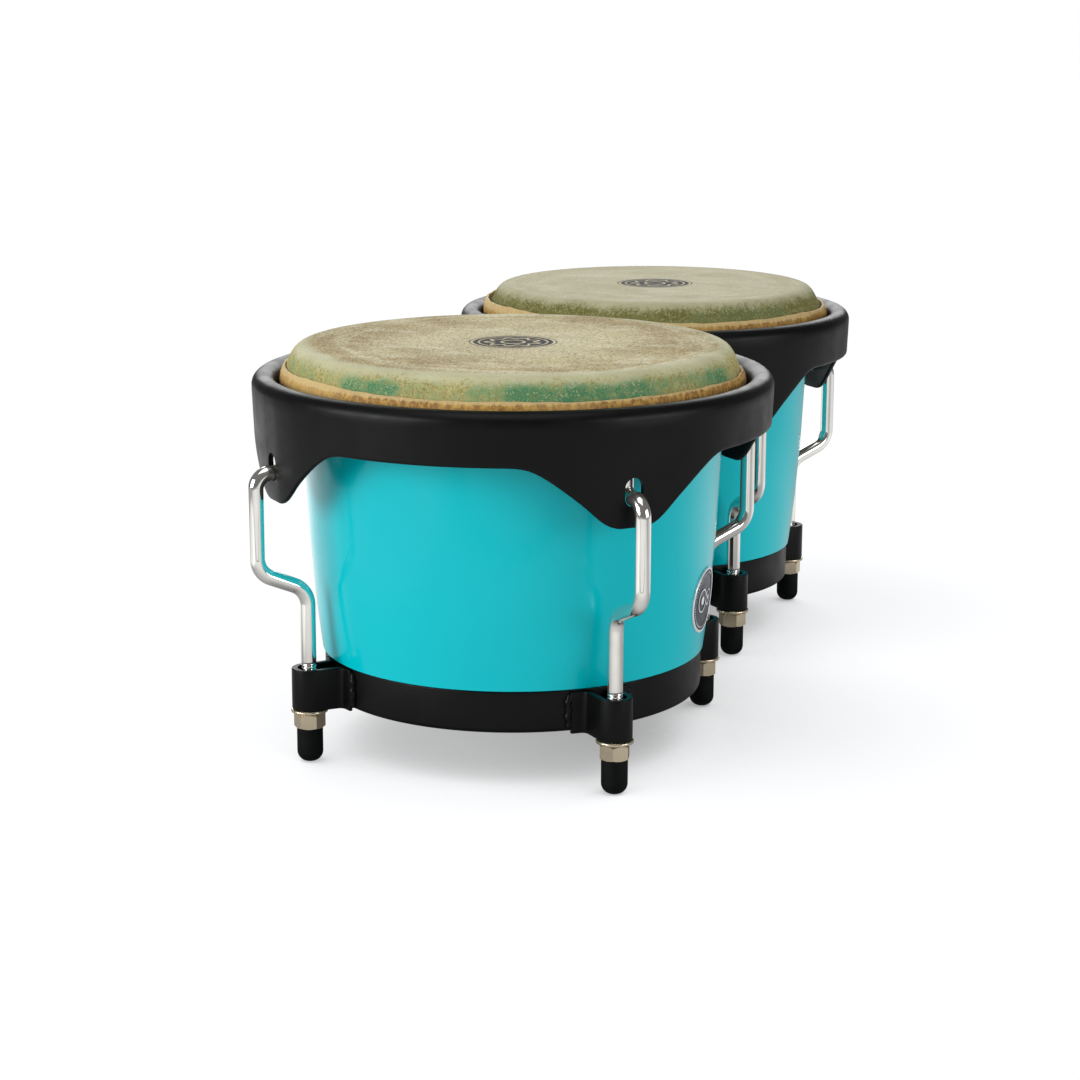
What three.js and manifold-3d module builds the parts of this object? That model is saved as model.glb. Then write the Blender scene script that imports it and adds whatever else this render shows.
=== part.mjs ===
import * as THREE from "three";
import { mergeVertices } from "three/addons/utils/BufferGeometryUtils.js";
import Module from "manifold-3d";

// A pair of bongos: a large drum (hembra) and a small drum (macho) joined by a centre block.
// Millimetres, +Z up, +X from the large drum to the small one, the badge facing -Y.
// Every radius in a profile is that of the large drum; the small drum's is less by its "step".

const AXIS_SPACING = 211;
const SMALL_DRUM_STEP = 12.7;
const GAP = 0.3;
const ROUND_SIDES = 48;
const HIDDEN_SIDES = 40;
const LUG_ANGLES = [45, 135, 225, 315];

const LUG_CIRCLE_RADIUS = 93.5;
const UPPER_ROD_RADIUS = 115;
const ROD_RADIUS = 3.15;
const ROD_BOTTOM = 2.9;
const HOOK_TIP = { radius: 100.6, top: 130 };

const HEAD_TOP = 169.5;
const SKIN_THICKNESS = 1.3;
const SHELL_WALL = 5;

const RIM_LIP_RADIUS = 98;
const RIM_CREST = 158.3;
const RIM_SHEET = 2.2;
const RIM_LIP_BOTTOM = 145.8;
const SLOT = { width: 8, bottom: 119.6, top: 131.2 };
const HOOK_HEIGHT = 123.05;

const RING = { outer: 80.2, inner: 77.9, flange: 72, bottom: 23.3, top: 40.85 };
const BRACKET = { bottom: 22.8, top: 40.1, halfWidth: 7.15, sheet: 2.6, flange: 13 };
const WASHER = { outer: 7.65, inner: 3.65, bottom: 21.1, top: 22.5 };
const NUT = { acrossFlats: 11.1, bottom: 14.6, top: 20.8, bore: 3.45 };
const CAP = { radius: 5.4, top: 14.3, bore: 3.45 };

const BADGE = { radius: 13.9, height: 65.6, thickness: 0.8 };
const BLOCK = { halfWidth: 31, bottom: 70, top: 114, corner: 6 };
const BOLT = { heights: [82, 102], shaft: 3, head: 7, headHeight: 3.6, depth: 22 };

const DRUMS = [
  { name: "hembra", step: 0, rimOuter: 109, side: 1 },
  { name: "macho", step: SMALL_DRUM_STEP, rimOuter: 95.6, side: -1 },
];
DRUMS[0].x = -(AXIS_SPACING + DRUMS[1].rimOuter - DRUMS[0].rimOuter) / 2;
DRUMS[1].x = DRUMS[0].x + AXIS_SPACING;

const MATERIALS = {
  shell: { color: 0x00a9b4, roughness: 0.16, metalness: 0 },
  skin: { color: 0xc3bb98, roughness: 0.62, metalness: 0 },
  flap: { color: 0xc49d5c, roughness: 0.7, metalness: 0 },
  blackSteel: { color: 0x1b1d1f, roughness: 0.42, metalness: 0.3 },
  hoopSteel: { color: 0x8f9296, roughness: 0.4, metalness: 1 },
  chrome: { color: 0xd4d6d8, roughness: 0.08, metalness: 1 },
  nickel: { color: 0xb3a78c, roughness: 0.26, metalness: 1 },
  rubber: { color: 0x121212, roughness: 0.82, metalness: 0 },
  badge: { color: 0x9ea2a6, roughness: 0.3, metalness: 0.9 },
  block: { color: 0x1f1d1b, roughness: 0.5, metalness: 0 },
};

const wasm = await Module();
wasm.setup();

const group = new THREE.Group();
group.name = "bongo_pair";

function toRadians(degrees) {
  return (degrees * Math.PI) / 180;
}

function bare(geometry) {
  const copy = geometry.clone();
  copy.deleteAttribute("normal");
  copy.deleteAttribute("uv");
  return mergeVertices(copy, 1e-4);
}

function enclosedVolume(geometry) {
  const position = geometry.attributes.position;
  const index = geometry.index.array;
  const [a, b, c] = [new THREE.Vector3(), new THREE.Vector3(), new THREE.Vector3()];
  let sum = 0;
  for (let i = 0; i < index.length; i += 3) {
    a.fromBufferAttribute(position, index[i]);
    b.fromBufferAttribute(position, index[i + 1]);
    c.fromBufferAttribute(position, index[i + 2]);
    sum += a.dot(b.cross(c)) / 6;
  }
  return sum;
}

// Shared vertices, faces pointing out of the body.
function closed(geometry) {
  const result = bare(geometry);
  if (enclosedVolume(result) < 0) {
    const index = result.index.array;
    for (let i = 0; i < index.length; i += 3) {
      [index[i + 1], index[i + 2]] = [index[i + 2], index[i + 1]];
    }
  }
  result.computeVertexNormals();
  return result;
}

function toManifold(geometry) {
  const clean = closed(geometry);
  return new wasm.Manifold(
    new wasm.Mesh({
      numProp: 3,
      vertProperties: new Float32Array(clean.attributes.position.array),
      triVerts: new Uint32Array(clean.index.array),
    })
  );
}

function fromManifold(solid) {
  const mesh = solid.getMesh();
  const geometry = new THREE.BufferGeometry();
  geometry.setAttribute("position", new THREE.BufferAttribute(mesh.vertProperties, 3));
  geometry.setIndex(new THREE.BufferAttribute(mesh.triVerts, 1));
  return geometry;
}

function subtract(geometry, cutters) {
  let solid = toManifold(geometry);
  for (const cutter of cutters) {
    solid = solid.subtract(toManifold(cutter));
  }
  return fromManifold(solid);
}

function intersect(first, second) {
  return fromManifold(toManifold(first).intersect(toManifold(second)));
}

function addPart(name, geometry, materialName, x = 0, turn = 0) {
  const placed = closed(geometry);
  placed.rotateZ(toRadians(turn));
  placed.translate(x, 0, 0);
  const mesh = new THREE.Mesh(placed, new THREE.MeshStandardMaterial(MATERIALS[materialName]));
  mesh.name = name;
  group.add(mesh);
}

function narrowed(profile, step) {
  return profile.map(([radius, z]) => [radius - step, z]);
}

// A solid of revolution; the profile starts and ends on the axis, or is a closed outline beside it.
function turned(profile, sides = ROUND_SIDES) {
  const onAxis = profile[0][0] === 0;
  const outline = onAxis ? profile : [...profile, profile[0]];
  const points = outline.map(([radius, z]) => new THREE.Vector2(radius, z));
  return new THREE.LatheGeometry(points, sides).rotateX(Math.PI / 2);
}

function extruded(shape, bottom, top, curveSegments = 8) {
  const options = { depth: top - bottom, bevelEnabled: false, curveSegments };
  return new THREE.ExtrudeGeometry(shape, options).translate(0, 0, bottom);
}

function regularPolygon(radius, sides, startAngle = 0) {
  const corners = [];
  for (let i = 0; i < sides; i += 1) {
    const angle = startAngle + (2 * Math.PI * i) / sides;
    corners.push(new THREE.Vector2(radius * Math.cos(angle), radius * Math.sin(angle)));
  }
  return corners;
}

function roundBar(radius, length, sides = 16) {
  return turned([[0, 0], [radius, 0], [radius, length], [0, length]], sides);
}

// ---- Shell -------------------------------------------------------------------------------

const SHELL_OUTSIDE = [
  [81.2, 41.2],
  [83, 56],
  [84.5, 72],
  [86.1, 94],
  [87.5, 122],
  [90.2, 163.5],
];

function shellProfile(step) {
  const outside = [[77.6, 25.6], [77.6, 41.2], ...SHELL_OUTSIDE, [88.4, 167.5]];
  const inside = [
    [86, 165],
    [86.1 - SHELL_WALL, 94],
    [81.2 - SHELL_WALL, 41.2],
    [73.6, 25.6],
  ];
  return narrowed([...outside, ...inside], step);
}

function shellCore(drum, clearance) {
  const outside = narrowed(SHELL_OUTSIDE, drum.step - clearance);
  const first = outside[0];
  const last = outside[outside.length - 1];
  return turned([[0, first[1]], ...outside, [0, last[1]]]).translate(drum.x, 0, 0);
}

// Distance from the drum's axis at which a bolt's head meets the inner wall.
function boltSeat(drum, height) {
  const [high, low] = [[86.1, 94], SHELL_OUTSIDE[0]];
  const slope = (high[0] - low[0]) / (high[1] - low[1]);
  const wall = low[0] - SHELL_WALL - drum.step + slope * (height - BOLT.head - low[1]);
  const flat = wall * Math.cos(Math.PI / ROUND_SIDES);
  return Math.sqrt(flat ** 2 - BOLT.head ** 2) - GAP;
}

function boltBars(drum, radius, length) {
  return BOLT.heights.map((height) =>
    roundBar(radius, length, 12)
      .rotateY((drum.side * Math.PI) / 2)
      .translate(drum.x + drum.side * boltSeat(drum, height), 0, height)
  );
}

function addShell(drum) {
  const holes = boltBars(drum, BOLT.shaft + GAP, 15);
  const shell = turned(shellProfile(drum.step)).translate(drum.x, 0, 0);
  addPart(`${drum.name}_shell`, subtract(shell, holes), "shell");
}

// ---- Head: skin, tuck and flesh hoop -----------------------------------------------------

function addHead(drum) {
  const under = HEAD_TOP - SKIN_THICKNESS;
  const disc = [
    [88.6, HEAD_TOP],
    [91.3, 168.4],
    [92.7, 165.8],
    [94.2, 160.5],
    [94.2, 139.5],
    [92.9, 139.5],
    [92.9, 160.3],
    [91.4, 165.4],
    [90.2, 167.3],
    [88.4, under],
  ];
  const profile = [[0, HEAD_TOP], ...narrowed(disc, drum.step), [0, under]];
  addPart(`${drum.name}_head`, turned(profile), "skin", drum.x);

  const tuck = [
    [94.8, 160.6],
    [94.8, 141],
    [97, 138.2],
    [101.4, 137.9],
    [104.3, 141.2],
    [104, 144.6],
    [102.7, 144.4],
    [102.9, 141.7],
    [101.2, 139.2],
    [98.2, 139.2],
    [96.4, 141.8],
    [97.2, 148.4],
    [97.2, 155.8],
    [96, 160.6],
  ];
  addPart(`${drum.name}_skin_tuck`, turned(narrowed(tuck, drum.step), HIDDEN_SIDES), "flap", drum.x);

  const hoop = regularPolygon(2.7, 6, Math.PI / 6).map((corner) => [99.7 + corner.x, 142.4 + corner.y]);
  addPart(`${drum.name}_flesh_hoop`, turned(narrowed(hoop, drum.step), HIDDEN_SIDES), "hoopSteel", drum.x);
}

// ---- Tuning rim with four slotted ears ---------------------------------------------------

// Height of the rim's lower edge, by angle from the nearest lug.
const EAR_EDGE = [
  [3, 111],
  [7, 115.2],
  [11, 121.2],
  [15.5, 127.8],
  [20, 133.4],
  [24, 136.4],
  [31, 136.75],
  [38, 136.75],
  [45, 136.75],
];

function rimProfile(drum, edge) {
  const outer = drum.rimOuter;
  const lip = RIM_LIP_RADIUS - drum.step;
  const crest = outer - 5;
  return [
    [outer - 1.3, edge],
    [outer - 0.9, Math.max(edge + 1, 134)],
    [outer, 152.8],
    [outer - 1.4, 156.8],
    [crest, RIM_CREST],
    [crest - 3.5, 157],
    [lip + 1, 153.4],
    [lip, RIM_LIP_BOTTOM],
    [lip + RIM_SHEET, RIM_LIP_BOTTOM],
    [lip + RIM_SHEET + 1, 152.8],
    [crest - 1.8, 155.2],
    [crest, RIM_CREST - RIM_SHEET],
    [outer - 3.1, 155.3],
    [outer - RIM_SHEET, 152.8],
    [outer - RIM_SHEET - 0.9, Math.max(edge + 1, 134)],
    [outer - RIM_SHEET - 1.3, edge],
  ];
}

// A ring whose outline may change with the angle.
function ringOf(outlines) {
  const positions = [];
  const faces = [];
  const count = outlines[0].points.length;
  for (const { angle, points } of outlines) {
    for (const [radius, z] of points) {
      positions.push(radius * Math.cos(angle), radius * Math.sin(angle), z);
    }
  }
  for (let i = 0; i < outlines.length; i += 1) {
    const next = (i + 1) % outlines.length;
    for (let j = 0; j < count; j += 1) {
      const k = (j + 1) % count;
      const [a, b] = [i * count + j, i * count + k];
      const [c, d] = [next * count + j, next * count + k];
      faces.push(a, c, b, b, c, d);
    }
  }
  const geometry = new THREE.BufferGeometry();
  geometry.setAttribute("position", new THREE.Float32BufferAttribute(positions, 3));
  geometry.setIndex(faces);
  return geometry;
}

function slotCutter(drum, lugAngle) {
  const half = SLOT.width / 2;
  const shape = new THREE.Shape();
  shape.absarc(0, SLOT.top - half, half, 0, Math.PI, false);
  shape.absarc(0, SLOT.bottom + half, half, Math.PI, 2 * Math.PI, false);
  const start = drum.rimOuter - 8;
  return extruded(shape, start, start + 16, 5)
    .rotateX(Math.PI / 2)
    .rotateZ(toRadians(lugAngle + 90));
}

function addRim(drum) {
  const outlines = [];
  for (const lug of LUG_ANGLES) {
    const before = [...EAR_EDGE].reverse().slice(1).map(([offset, z]) => [lug - offset, z]);
    const after = EAR_EDGE.map(([offset, z]) => [lug + offset, z]);
    for (const [degrees, edge] of [...before, ...after]) {
      outlines.push({ angle: toRadians(degrees), points: rimProfile(drum, edge) });
    }
  }
  const cutters = LUG_ANGLES.map((lug) => slotCutter(drum, lug));
  addPart(`${drum.name}_rim`, subtract(ringOf(outlines), cutters), "blackSteel", drum.x);
}

// ---- Bottom ring and lug brackets --------------------------------------------------------

function addBottomRing(drum) {
  const profile = [
    [RING.flange, RING.bottom],
    [RING.outer - 1.8, RING.bottom],
    [RING.outer, RING.bottom + 1.8],
    [RING.outer, RING.top],
    [RING.inner, RING.top],
    [RING.inner, RING.bottom + 2],
    [RING.flange, RING.bottom + 2],
  ];
  addPart(`${drum.name}_bottom_ring`, turned(narrowed(profile, drum.step)), "blackSteel", drum.x);
}

// A strap folded round the rod, its two cheeks flared onto the ring, seen from above.
function bracketShape(drum) {
  const back = RING.outer - drum.step + GAP;
  const loop = LUG_CIRCLE_RADIUS - drum.step;
  const outer = BRACKET.halfWidth;
  const inner = outer - BRACKET.sheet;
  const onBack = (y, lift = 0) => Math.sqrt((back + lift) ** 2 - y ** 2);
  const shape = new THREE.Shape();
  shape.moveTo(onBack(inner), -inner);
  shape.lineTo(onBack(outer), -outer);
  shape.lineTo(onBack(BRACKET.flange), -BRACKET.flange);
  shape.lineTo(onBack(BRACKET.flange, 1.8), -BRACKET.flange);
  shape.lineTo(onBack(outer + 1.2, 2.2), -outer - 1.2);
  shape.lineTo(onBack(outer, 3.6), -outer);
  shape.absarc(loop, 0, outer, -Math.PI / 2, Math.PI / 2, false);
  shape.lineTo(onBack(outer, 3.6), outer);
  shape.lineTo(onBack(outer + 1.2, 2.2), outer + 1.2);
  shape.lineTo(onBack(BRACKET.flange, 1.8), BRACKET.flange);
  shape.lineTo(onBack(BRACKET.flange), BRACKET.flange);
  shape.lineTo(onBack(outer), outer);
  shape.lineTo(onBack(inner), inner);
  shape.lineTo(loop, inner);
  shape.absarc(loop, 0, inner, Math.PI / 2, -Math.PI / 2, true);
  return shape;
}

// ---- Tuning rods -------------------------------------------------------------------------

// A planar path of [radius, z] corners, each inner corner rounded by its own radius.
function filleted(corners) {
  const points = [new THREE.Vector2(corners[0][0], corners[0][1])];
  for (let i = 1; i < corners.length - 1; i += 1) {
    const corner = new THREE.Vector2(corners[i][0], corners[i][1]);
    const back = new THREE.Vector2(corners[i - 1][0], corners[i - 1][1]).sub(corner).normalize();
    const on = new THREE.Vector2(corners[i + 1][0], corners[i + 1][1]).sub(corner).normalize();
    const half = Math.acos(back.dot(on)) / 2;
    const reach = corners[i][2] / Math.tan(half);
    const centre = back.clone().add(on).normalize().multiplyScalar(corners[i][2] / Math.sin(half));
    centre.add(corner);
    const start = corner.clone().addScaledVector(back, reach).sub(centre);
    const end = corner.clone().addScaledVector(on, reach).sub(centre);
    const sweep = Math.atan2(start.cross(end), start.dot(end));
    const steps = 3;
    for (let s = 0; s <= steps; s += 1) {
      const turn = (sweep * s) / steps;
      points.push(start.clone().rotateAround(new THREE.Vector2(), turn).add(centre));
    }
  }
  const last = corners[corners.length - 1];
  points.push(new THREE.Vector2(last[0], last[1]));
  return points;
}

// A round bar bent in the plane through the drum's axis, closed at both ends.
function bentBar(path, radius, sides) {
  const positions = [];
  const faces = [];
  path.forEach((point, i) => {
    const before = path[Math.max(i - 1, 0)];
    const after = path[Math.min(i + 1, path.length - 1)];
    const along = after.clone().sub(before).normalize();
    const across = new THREE.Vector2(-along.y, along.x);
    for (let s = 0; s < sides; s += 1) {
      const angle = (2 * Math.PI * s) / sides;
      const inPlane = radius * Math.cos(angle);
      positions.push(point.x + across.x * inPlane, radius * Math.sin(angle), point.y + across.y * inPlane);
    }
  });
  for (let i = 0; i < path.length - 1; i += 1) {
    for (let s = 0; s < sides; s += 1) {
      const t = (s + 1) % sides;
      const [a, b] = [i * sides + s, i * sides + t];
      faces.push(a, b, a + sides, b, b + sides, a + sides);
    }
  }
  for (const [end, centre, flip] of [[0, path[0], false], [path.length - 1, path[path.length - 1], true]]) {
    const hub = positions.length / 3;
    positions.push(centre.x, 0, centre.y);
    for (let s = 0; s < sides; s += 1) {
      const a = end * sides + s;
      const b = end * sides + ((s + 1) % sides);
      faces.push(...(flip ? [hub, a, b] : [hub, b, a]));
    }
  }
  const geometry = new THREE.BufferGeometry();
  geometry.setAttribute("position", new THREE.Float32BufferAttribute(positions, 3));
  geometry.setIndex(faces);
  return geometry;
}

function rodPath(drum) {
  const upper = UPPER_ROD_RADIUS - drum.step;
  const lower = LUG_CIRCLE_RADIUS - drum.step;
  const tip = drum.rimOuter - 109 + HOOK_TIP.radius;
  return filleted([
    [tip, HOOK_TIP.top],
    [tip, HOOK_HEIGHT, 3.6],
    [upper, HOOK_HEIGHT, 6.5],
    [upper, 82, 9],
    [lower, 73, 9],
    [lower, ROD_BOTTOM],
  ]);
}

function addLugs(drum) {
  const lower = LUG_CIRCLE_RADIUS - drum.step;
  const bracket = extruded(bracketShape(drum), BRACKET.bottom, BRACKET.top, 6);
  const rod = bentBar(rodPath(drum), ROD_RADIUS, 8);
  const washerShape = new THREE.Shape(regularPolygon(WASHER.outer, 16));
  washerShape.holes.push(new THREE.Path(regularPolygon(WASHER.inner, 10)));
  const washer = extruded(washerShape, WASHER.bottom, WASHER.top).translate(lower, 0, 0);
  const nutShape = new THREE.Shape(regularPolygon(NUT.acrossFlats / Math.sqrt(3), 6));
  nutShape.holes.push(new THREE.Path(regularPolygon(NUT.bore, 10)));
  const nut = extruded(nutShape, NUT.bottom, NUT.top).translate(lower, 0, 0);
  const capProfile = [
    [0, 0],
    [2.6, 0],
    [4.6, 1.7],
    [CAP.radius, 4.2],
    [CAP.radius, CAP.top],
    [CAP.bore, CAP.top],
    [CAP.bore, ROD_BOTTOM - GAP],
    [0, ROD_BOTTOM - GAP],
  ];
  const cap = turned(capProfile, 12).translate(lower, 0, 0);
  LUG_ANGLES.forEach((angle, i) => {
    const number = i + 1;
    addPart(`${drum.name}_lug_bracket_${number}`, bracket, "blackSteel", drum.x, angle);
    addPart(`${drum.name}_tuning_rod_${number}`, rod, "chrome", drum.x, angle);
    addPart(`${drum.name}_washer_${number}`, washer, "nickel", drum.x, angle);
    addPart(`${drum.name}_nut_${number}`, nut, "nickel", drum.x, angle);
    addPart(`${drum.name}_foot_cap_${number}`, cap, "rubber", drum.x, angle);
  });
}

// ---- Badge, centre block and its bolts ---------------------------------------------------

function addBadge(drum) {
  const skinOf = (lift) => narrowed(SHELL_OUTSIDE.slice(0, 4), drum.step - lift);
  const sleeve = turned([...skinOf(GAP + BADGE.thickness), ...skinOf(GAP).reverse()], 96);
  const plug = roundBar(BADGE.radius, 200, 32).rotateX(Math.PI / 2).translate(0, 0, BADGE.height);
  addPart(`${drum.name}_badge`, intersect(sleeve, plug), "badge", drum.x);
}

function addCentreBlock() {
  const [large, small] = DRUMS;
  const left = large.x + 60;
  const right = small.x - 50;
  const shape = new THREE.Shape();
  const { halfWidth, corner, bottom, top } = BLOCK;
  shape.moveTo(-halfWidth + corner, bottom);
  shape.lineTo(halfWidth - corner, bottom);
  shape.lineTo(halfWidth, bottom + corner);
  shape.lineTo(halfWidth, top - corner);
  shape.lineTo(halfWidth - corner, top);
  shape.lineTo(-halfWidth + corner, top);
  shape.lineTo(-halfWidth, top - corner);
  shape.lineTo(-halfWidth, bottom + corner);
  const blank = extruded(shape, 0, right - left)
    .rotateX(Math.PI / 2)
    .rotateZ(Math.PI / 2)
    .translate(left, 0, 0);
  const cores = DRUMS.map((drum) => shellCore(drum, GAP + 0.1));
  const holes = DRUMS.flatMap((drum) => boltBars(drum, BOLT.shaft + GAP, BOLT.depth + 1));
  addPart("center_block", subtract(blank, [...cores, ...holes]), "block");
}

function addBlockBolts(drum) {
  const profile = [
    [0, 0],
    [BOLT.head - 2.4, 0],
    [BOLT.head, 2],
    [BOLT.head, BOLT.headHeight],
    [BOLT.shaft, BOLT.headHeight],
    [BOLT.shaft, BOLT.headHeight + BOLT.depth],
    [0, BOLT.headHeight + BOLT.depth],
  ];
  BOLT.heights.forEach((height, i) => {
    const headFace = boltSeat(drum, height) - BOLT.headHeight;
    const bolt = turned(profile, 10)
      .rotateY((drum.side * Math.PI) / 2)
      .translate(drum.x + drum.side * headFace, 0, height);
    addPart(`${drum.name}_block_bolt_${i + 1}`, bolt, "nickel");
  });
}

for (const drum of DRUMS) {
  addShell(drum);
  addHead(drum);
  addRim(drum);
  addBottomRing(drum);
  addLugs(drum);
  addBlockBolts(drum);
}
addBadge(DRUMS[0]);
addCentreBlock();

export default group;
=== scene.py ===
"""The looks of a pair of bongos on their rod feet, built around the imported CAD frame."""
import math

import bmesh
import bpy
import numpy as np
from mathutils import Matrix, Vector


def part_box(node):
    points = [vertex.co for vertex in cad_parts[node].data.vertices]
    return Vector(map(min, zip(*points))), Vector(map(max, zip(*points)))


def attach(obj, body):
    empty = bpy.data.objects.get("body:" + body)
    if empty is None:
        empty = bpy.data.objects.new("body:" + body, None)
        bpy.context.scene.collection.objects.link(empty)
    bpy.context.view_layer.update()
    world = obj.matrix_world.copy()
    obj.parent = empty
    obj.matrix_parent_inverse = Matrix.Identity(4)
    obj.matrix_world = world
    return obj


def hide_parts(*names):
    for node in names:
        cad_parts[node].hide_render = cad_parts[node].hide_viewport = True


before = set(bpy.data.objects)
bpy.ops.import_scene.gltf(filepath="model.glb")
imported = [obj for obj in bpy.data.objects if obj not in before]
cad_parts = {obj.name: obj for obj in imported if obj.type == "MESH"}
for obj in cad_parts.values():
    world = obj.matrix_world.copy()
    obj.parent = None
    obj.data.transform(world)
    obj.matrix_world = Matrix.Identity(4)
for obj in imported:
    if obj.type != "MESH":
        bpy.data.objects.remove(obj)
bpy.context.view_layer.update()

MM = 0.001
LUG_ANGLES = (45, 135, 225, 315)
THREAD_PITCH = 1.27
THREAD_TOP = 42.4


class Drum:
    """Sizes of one drum in millimetres. Radii below are the large drum's, less `step` on the small one."""

    def __init__(self, name, step):
        low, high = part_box(f"{name}_rim")
        self.name = name
        self.step = step
        self.x = (low[0] + high[0]) / 2 / MM
        self.rim = (high[0] - low[0]) / 2 / MM
        self.side = 1 if self.x < 0 else -1
        self.lug = 93.5 - step  # Radius of the rods' lower part.
        self.upper = 115 - step  # Radius of their upper part.
        self.pull = 1.3 if step else 0.0  # How much narrower the head's crown is.


DRUMS = (Drum("hembra", 0.0), Drum("macho", 12.7))


# ---- Camera ------------------------------------------------------------------------------

CAMERA_TURN = (18.736, -12.791, 0.149)  # Heading, pitch and roll in degrees.
CAMERA_PLACE = (-1.1025, -0.3525, 0.3262)
CAMERA_LENS, CAMERA_SENSOR = 85.61, 36


def place_camera():
    heading, pitch, roll = (math.radians(angle) for angle in CAMERA_TURN)
    forward = Vector((
        math.cos(heading) * math.cos(pitch),
        math.sin(heading) * math.cos(pitch),
        math.sin(pitch),
    ))
    right = forward.cross(Vector((0, 0, 1))).normalized()
    up = right.cross(forward)
    tilted_right = right * math.cos(roll) + up * math.sin(roll)
    tilted_up = up * math.cos(roll) - right * math.sin(roll)
    data = bpy.data.cameras.new("camera")
    data.sensor_width = CAMERA_SENSOR
    data.lens = CAMERA_LENS
    data.clip_start = 0.05
    camera = bpy.data.objects.new("camera", data)
    camera.matrix_world = Matrix((tilted_right, tilted_up, -forward)).transposed().to_4x4()
    camera.location = CAMERA_PLACE
    bpy.context.collection.objects.link(camera)
    bpy.context.scene.camera = camera


# ---- Mesh helpers ------------------------------------------------------------------------

def add_piece(name, vertices, faces, materials, body, nodes, face_slots=None, sharp=38):
    """A mesh from millimetre vertices that rides on a body and stands for CAD nodes."""
    mesh = bpy.data.meshes.new(name)
    mesh.from_pydata((np.asarray(vertices) * MM).tolist(), [], faces)
    for material in materials:
        mesh.materials.append(material)
    if face_slots is not None:
        mesh.polygons.foreach_set("material_index", face_slots)
    edit = bmesh.new()
    edit.from_mesh(mesh)
    bmesh.ops.remove_doubles(edit, verts=edit.verts, dist=1e-7)
    bmesh.ops.recalc_face_normals(edit, faces=edit.faces)
    edit.to_mesh(mesh)
    edit.free()
    mesh.shade_smooth()
    mesh.set_sharp_from_angle(angle=math.radians(sharp))
    piece = bpy.data.objects.new(name, mesh)
    bpy.context.collection.objects.link(piece)
    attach(piece, body)
    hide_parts(*nodes)
    return piece


def grid_faces(rows, columns, wrap_rows, wrap_columns):
    faces = []
    for i in range(rows if wrap_rows else rows - 1):
        below = ((i + 1) % rows) * columns
        for j in range(columns if wrap_columns else columns - 1):
            k = (j + 1) % columns
            faces.append((i * columns + j, i * columns + k, below + k, below + j))
    return faces


def tube_faces(rows, columns):
    """Faces of rings joined in a row, with a cap at each end."""
    caps = [tuple(range(columns)), tuple(range((rows - 1) * columns, rows * columns))[::-1]]
    return grid_faces(rows, columns, False, True) + caps


def joined(first, second):
    """Two meshes as one."""
    shift = len(first[0])
    faces = first[1] + [tuple(i + shift for i in face) for face in second[1]]
    return np.vstack((first[0], second[0])), faces


def arc(x, y, radius, start, end, count):
    return [(x + radius * math.cos(t), y + radius * math.sin(t)) for t in np.linspace(start, end, count)]


def fillet(corners, steps=5, closed=False):
    """A polyline of (x, y, radius) corners with each corner rounded."""
    points = []
    count = len(corners)
    for i, (x, y, radius) in enumerate(corners):
        if radius == 0 or (not closed and i in (0, count - 1)):
            points.append((x, y))
            continue
        corner = np.array((x, y), float)
        back = np.array(corners[i - 1][:2], float) - corner
        on = np.array(corners[(i + 1) % count][:2], float) - corner
        back /= np.linalg.norm(back)
        on /= np.linalg.norm(on)
        half = math.acos(np.clip(back @ on, -1, 1)) / 2
        middle = (back + on) / np.linalg.norm(back + on)
        centre = corner + middle * radius / math.sin(half)
        start = corner + back * radius / math.tan(half) - centre
        end = corner + on * radius / math.tan(half) - centre
        sweep = math.atan2(start[0] * end[1] - start[1] * end[0], start @ end)
        for step in range(steps + 1):
            turn = sweep * step / steps
            cos, sin = math.cos(turn), math.sin(turn)
            points.append((
                centre[0] + start[0] * cos - start[1] * sin,
                centre[1] + start[0] * sin + start[1] * cos,
            ))
    return np.array(points)


def spline(points, steps):
    """A smooth curve through the points."""
    points = np.array(points, float)
    padded = np.vstack((2 * points[0] - points[1], points, 2 * points[-1] - points[-2]))
    curve = []
    for i in range(1, len(padded) - 2):
        a, b, c, d = padded[i - 1:i + 3]
        for t in np.arange(steps) / steps:
            curve.append(0.5 * (
                2 * b + (c - a) * t + (2 * a - 5 * b + 4 * c - d) * t**2
                + (3 * b - a - 3 * c + d) * t**3
            ))
    curve.append(points[-1])
    return np.array(curve)


def turn_profile(profile, sides=192):
    """Vertices and faces of a closed outline turned about Z; an outline that starts at radius 0 is open."""
    profile = np.asarray(profile, float)
    angles = np.arange(sides) * 2 * math.pi / sides
    radius, z = profile[:, 0], profile[:, 1]
    vertices = np.stack((
        np.outer(np.cos(angles), radius),
        np.outer(np.sin(angles), radius),
        np.tile(z, (sides, 1)),
    ), axis=-1).reshape(-1, 3)
    on_axis = abs(profile[0][0]) < 1e-9
    return vertices, grid_faces(sides, len(profile), True, not on_axis)


def narrowed(profile, step, pull=0.0):
    """The profile of a smaller drum; `pull` also draws in its crown, above the hoop."""
    profile = np.array(profile, float)
    crown = np.clip((profile[:, 1] - 158) / 5, 0, 1) * (profile[:, 0] > 70)
    profile[:, 0] -= step + pull * crown
    return profile


def moved(vertices, x=0.0, y=0.0, z=0.0, turn=0.0):
    """Turned about Z by degrees, then shifted."""
    angle = math.radians(turn)
    vertices = np.asarray(vertices, float)
    result = vertices.copy()
    result[:, 0] = vertices[:, 0] * math.cos(angle) - vertices[:, 1] * math.sin(angle) + x
    result[:, 1] = vertices[:, 0] * math.sin(angle) + vertices[:, 1] * math.cos(angle) + y
    result[:, 2] += z
    return result


# ---- Material helpers --------------------------------------------------------------------

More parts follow.
